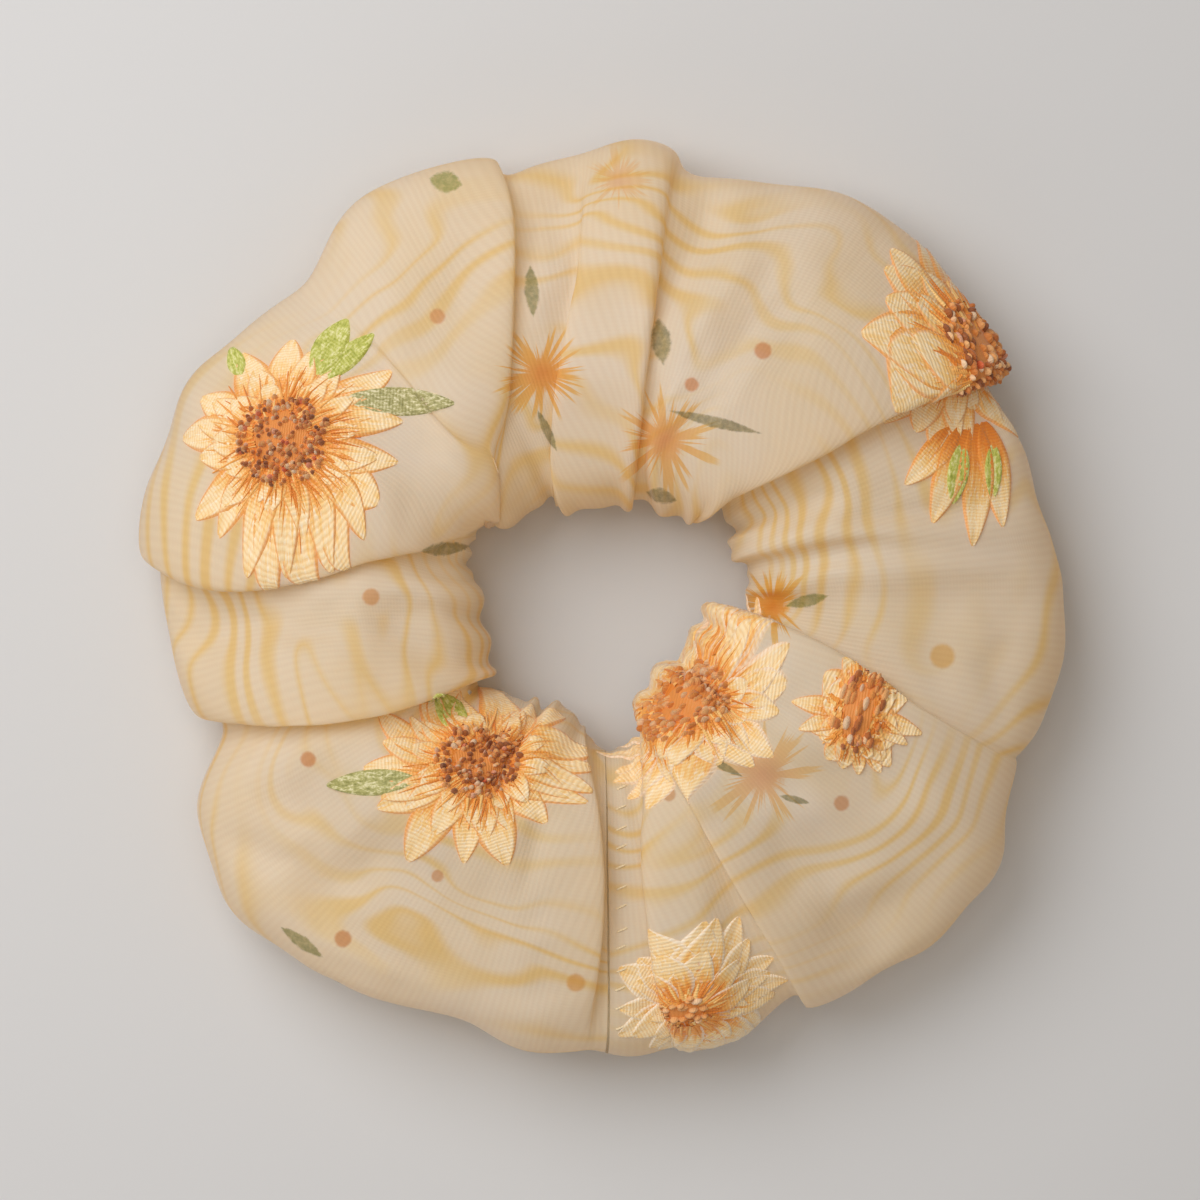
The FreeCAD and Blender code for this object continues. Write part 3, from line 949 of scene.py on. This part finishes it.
def elastic_band():
    """The braided elastic inside the tube, its ends lapped opposite the closing seam."""
    columns, across_steps = 720, 13
    turn = np.radians(90 - LAP_TURN + (360 + 2 * LAP_TURN) * np.linspace(0, 1, columns))
    past = np.clip((np.degrees(turn) - (90 + 360 - LAP_TURN - 6)) / 6, 0, 1)
    radius = ELASTIC_RADIUS + 1.1 * past * past * (3 - 2 * past)
    outline = []
    for step in np.linspace(-1, 1, across_steps):
        thick = ELASTIC_THICKNESS / 2 * math.sqrt(max(1 - step ** 6, 0))
        outline.append((thick, ELASTIC_WIDTH / 2 * step))
    section = np.array(outline + [(-a, b) for a, b in outline[::-1][1:-1]])
    cords = 0.08 * np.abs(np.sin(section[:, 1] * math.pi))
    weave = 0.05 * np.sin(turn[:, None] * ELASTIC_RADIUS * 2 * math.pi / 1.3 + section[None, :, 1] * 3.0)
    outward = radius[:, None] + section[None, :, 0] + np.sign(section[None, :, 0]) * (weave - cords)
    points = np.stack([outward * np.cos(turn)[:, None], outward * np.sin(turn)[:, None],
                       np.broadcast_to(ELASTIC_LEVEL + section[:, 1], outward.shape)], -1)
    braid = np.stack(np.broadcast_arrays(turn[:, None] * ELASTIC_RADIUS, section[None, :, 1],
                                         section[None, :, 0]), -1)
    faces = tube_faces(columns, len(section))
    made = ring_pieces("elastic", points.reshape(-1, 3), faces, {"braid": braid.reshape(-1, 3)},
                       [elastic_material()])
    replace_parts(made[0], "elastic_loop")


def elastic_material():
    n = Nodes("braided_elastic")
    along, across, _ = n.parts(n.attribute("braid"))
    left = n.sine(n.product(n.plus(along, across), 2 * math.pi / 0.9))
    right = n.sine(n.product(n.minus(along, across), 2 * math.pi / 0.9))
    cross = n.math("MAXIMUM", left, right)
    # painted light and shade: the braid is darker in its hollows and lighter on its raised crossings,
    # following its bump
    colour = n.ramp(n.mask(cross, -1.0, 1.0), [(0.0, 206, 200, 190), (1.0, 240, 238, 232)])
    return n.finish(colour, n.bump(cross, 0.08), Roughness=0.75, Sheen_Weight=0.2)


def thread_material(name, colour):
    n = Nodes(name)
    along, across, _ = n.parts(n.attribute("thread"))
    twist = n.sine(n.product(n.plus(along, across), 2 * math.pi / 0.35))
    return n.finish(linear(*colour), n.bump(twist, 0.03), Roughness=0.5, Sheen_Weight=0.25)


def cord(path, radius, sides=8):
    """Points, faces and thread coordinates of a round thread along a path."""
    path = np.asarray(path, float)
    ahead = np.gradient(path, axis=0)
    ahead /= np.linalg.norm(ahead, axis=1, keepdims=True)
    upright = np.zeros_like(path)
    upright[:, 2] = 1.0
    side = np.cross(ahead, upright)
    weak = np.linalg.norm(side, axis=1) < 0.1
    side[weak] = np.cross(ahead[weak], (1.0, 0.0, 0.0))
    side /= np.linalg.norm(side, axis=1, keepdims=True)
    other = np.cross(side, ahead)
    turn = np.arange(sides) / sides * 2 * math.pi
    ring = (np.cos(turn)[None, :, None] * side[:, None] + np.sin(turn)[None, :, None] * other[:, None])
    fullness = np.ones(len(path))
    fullness[[0, -1]] = 0.35
    points = path[:, None] + ring * (radius * fullness)[:, None, None]
    gone = np.concatenate([[0], np.cumsum(np.linalg.norm(np.diff(path, axis=0), axis=1))])
    thread = np.stack(np.broadcast_arrays(gone[:, None], turn[None, :] * radius, 0.0), -1)
    return points.reshape(-1, 3), tube_faces(len(path), sides), thread.reshape(-1, 3)


def sewn(node, paths, radius, material):
    """Threads along paths, in place of a CAD node."""
    points, faces, threads, count = [], [], [], 0
    for path in paths:
        p, f, t = cord(path, radius)
        points.append(p)
        faces.append(f + count)
        threads.append(t)
        count += len(p)
    made = ring_pieces(node, np.concatenate(points), np.concatenate(faces),
                       {"thread": np.concatenate(threads)}, [material])
    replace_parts(made[0], node)


def lap_stitches():
    """The zigzag that joins the elastic's ends."""
    corners = 9
    steps = np.linspace(0, corners - 1, (corners - 1) * 12 + 1)
    zigzag = np.interp(steps, np.arange(corners), [2.0 if i % 2 else -2.0 for i in range(corners)])
    turn = np.radians(90 - 11.9 + 23.8 * steps / (corners - 1))
    radius = ELASTIC_RADIUS + 1.82
    path = np.stack([radius * np.cos(turn), radius * np.sin(turn), ELASTIC_LEVEL + zigzag], -1)
    sewn("elastic_lap_stitches", [path], 0.2, thread_material("white_thread", (240, 236, 226)))


def seam_stitches():
    """Slanted stitches that close the tube on itself, over the top of the cover."""
    paths = []
    for out in np.arange(24.0, 56.0, 2.6):
        patch = Patch(1.8, -out)
        x, y = np.linspace(-0.8, 0.8, 9), np.linspace(-0.35, 0.35, 9)
        sunk = 0.06 - 0.3 * np.abs(np.linspace(-1, 1, 9)) ** 4
        paths.append(patch.drop(x, y, sunk))
    sewn("closing_seam_stitches", paths, 0.14, thread_material("cream_thread", (250, 230, 190)))


cover_pieces()
embroidery()
elastic_band()
lap_stitches()
seam_stitches()


# ---------------------------------------------------------------- floor, light and camera, in metres

CAMERA_HEIGHT, SENSOR = 0.75, 36
VIEW_WIDTH, VIEW_LEVEL = 0.1555, 0.012   # the width that fills the view, and the height that it is taken at


def stage():
    bpy.ops.mesh.primitive_plane_add(size=1.6, location=(0, 0, 0))
    floor = bpy.context.object
    floor.name = "floor"
    n = Nodes("pale_floor")
    floor.data.materials.append(n.finish(linear(214, 215, 217), Roughness=0.9))


def area_light(name, place, size, power, colour):
    """A round studio light that points at the middle of the floor."""
    light = bpy.data.lights.new(name, "AREA")
    light.shape = "DISK"
    light.size = size
    light.energy = power
    light.color = colour
    obj = bpy.data.objects.new(name, light)
    obj.location = place
    obj.rotation_euler = (Vector((0, 0, 0)) - Vector(place)).to_track_quat("-Z", "Y").to_euler()
    bpy.context.collection.objects.link(obj)


def lights_and_camera():
    area_light("window", (-0.25, 0.22, 0.42), 0.48, 1.95, (1.0, 0.985, 0.975))
    area_light("ceiling", (0.0, 0.0, 0.6), 0.3, 0.42, (1.0, 0.91, 0.78))
    area_light("bounce", (-0.14, -0.42, 0.22), 0.4, 0.28, (1.0, 0.96, 0.92))
    world = bpy.data.worlds.new("room")
    world.use_nodes = True
    world.node_tree.nodes["Background"].inputs[0].default_value = (0.90, 0.84, 0.78, 1)
    world.node_tree.nodes["Background"].inputs[1].default_value = 0.34
    bpy.context.scene.world = world
    bpy.context.scene.view_settings.view_transform = "Standard"
    camera = bpy.data.cameras.new("camera")
    camera.sensor_width = SENSOR
    camera.lens = SENSOR * (CAMERA_HEIGHT - VIEW_LEVEL) / VIEW_WIDTH
    obj = bpy.data.objects.new("camera", camera)
    obj.location = (-0.0009, 0, CAMERA_HEIGHT)
    bpy.context.collection.objects.link(obj)
    bpy.context.scene.camera = obj


stage()
lights_and_camera()
